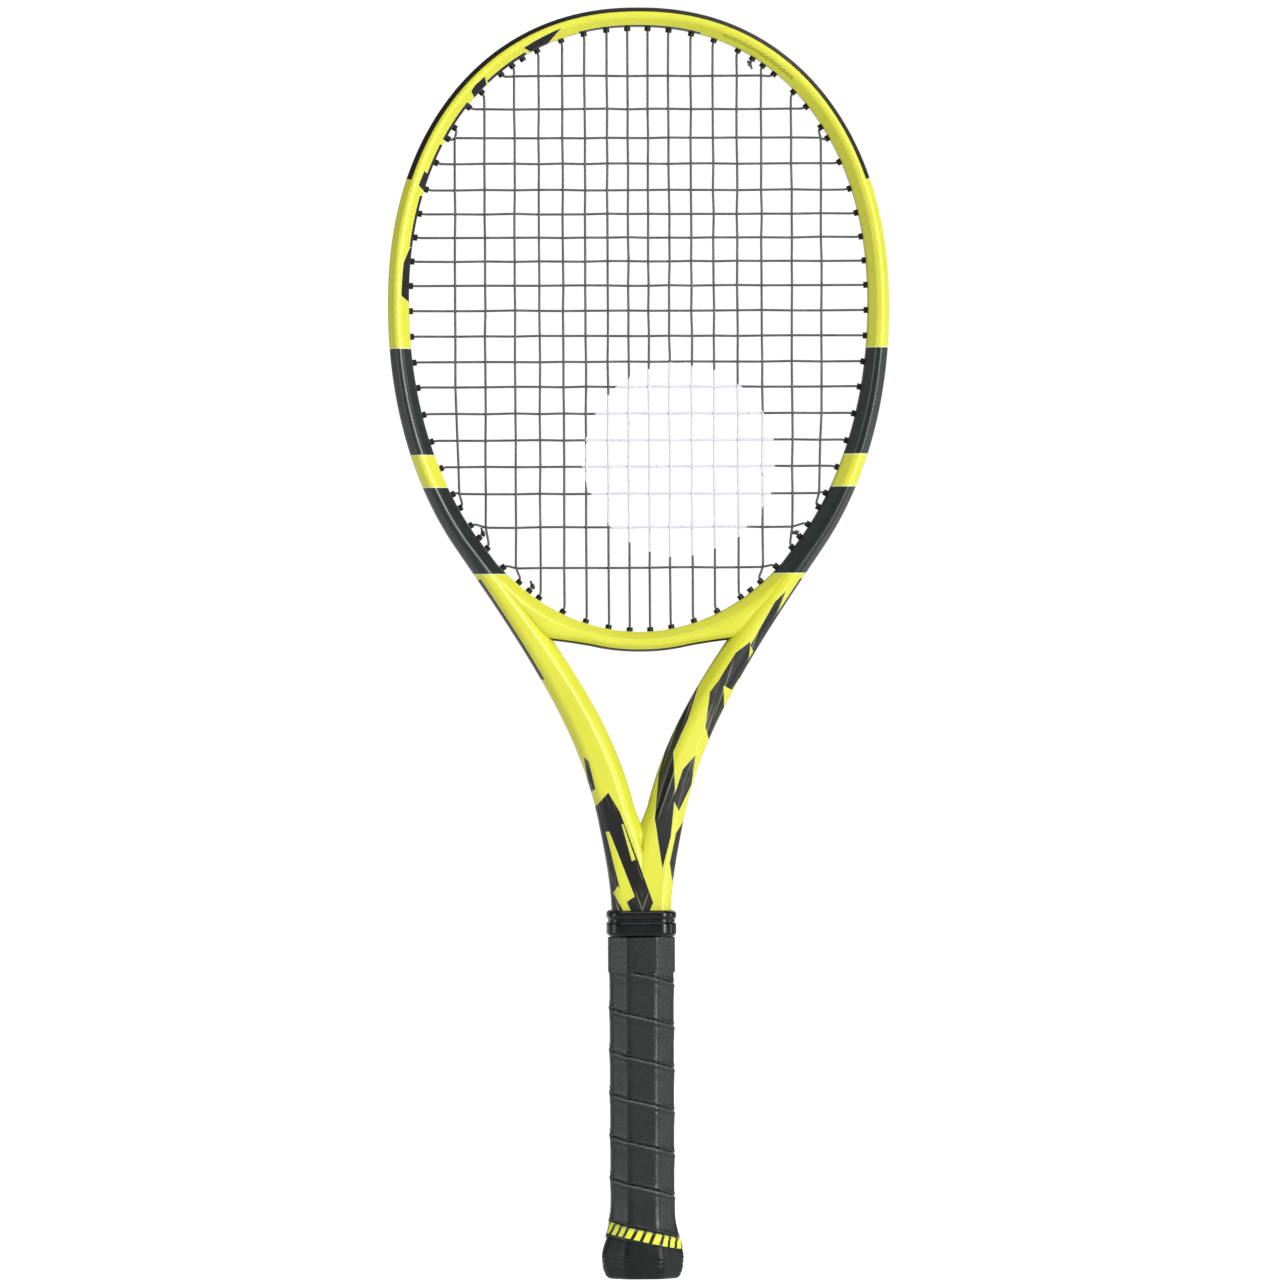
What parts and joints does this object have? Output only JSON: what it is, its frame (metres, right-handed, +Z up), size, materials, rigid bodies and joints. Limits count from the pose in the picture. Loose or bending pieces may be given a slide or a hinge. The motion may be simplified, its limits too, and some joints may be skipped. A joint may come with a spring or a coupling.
{
  "type": "tennis racket",
  "caption": "Strung tennis racket with a tapered hollow frame, open throat, woven string bed and spiral-wrapped octagonal grip",
  "frame": {"origin": "bottom centre of the butt cap, the racket standing on its butt", "axes": "+Z up the length from butt to tip, X across the string bed, -Y out of the front face of the strings"},
  "size_m": [0.2702, 0.0404, 0.685],
  "materials": {
    "frame": "gloss clear coat over paint",
    "guard": "matte",
    "strings": "satin",
    "foam": "matte",
    "cap": "satin",
    "staples": "bright",
    "grip": "satin",
    "tape": "satin",
    "collar": "satin"
  },
  "bodies": {
    "racket": {"frame_hairpin": "frame", "throat_bridge": "frame", "bumper_guard": "guard", "grommet_strip_left": "guard", "grommet_strip_right": "guard", "grommet_strip_throat": "guard", "main_string": "strings", "cross_string": "strings", "handle_pallet_front": "foam", "handle_pallet_back": "foam", "butt_cap": "cap", "butt_cap_staples": "staples", "grip_start_staple": "staples", "base_grip": "grip", "grip_finishing_tape": "tape"},
    "door": {"butt_cap_door": "cap"},
    "collar": {"grip_collar": "collar"}
  },
  "joints": [
    {"name": "collar_slide", "type": "slide", "parent": "racket", "child": "collar", "axis": [0, 0, 1], "range_m": [0, 0.008]},
    {"name": "door_pull", "type": "slide", "parent": "racket", "child": "door", "axis": [0, 0, -1], "range_m": [0, 0.02]}
  ]
}
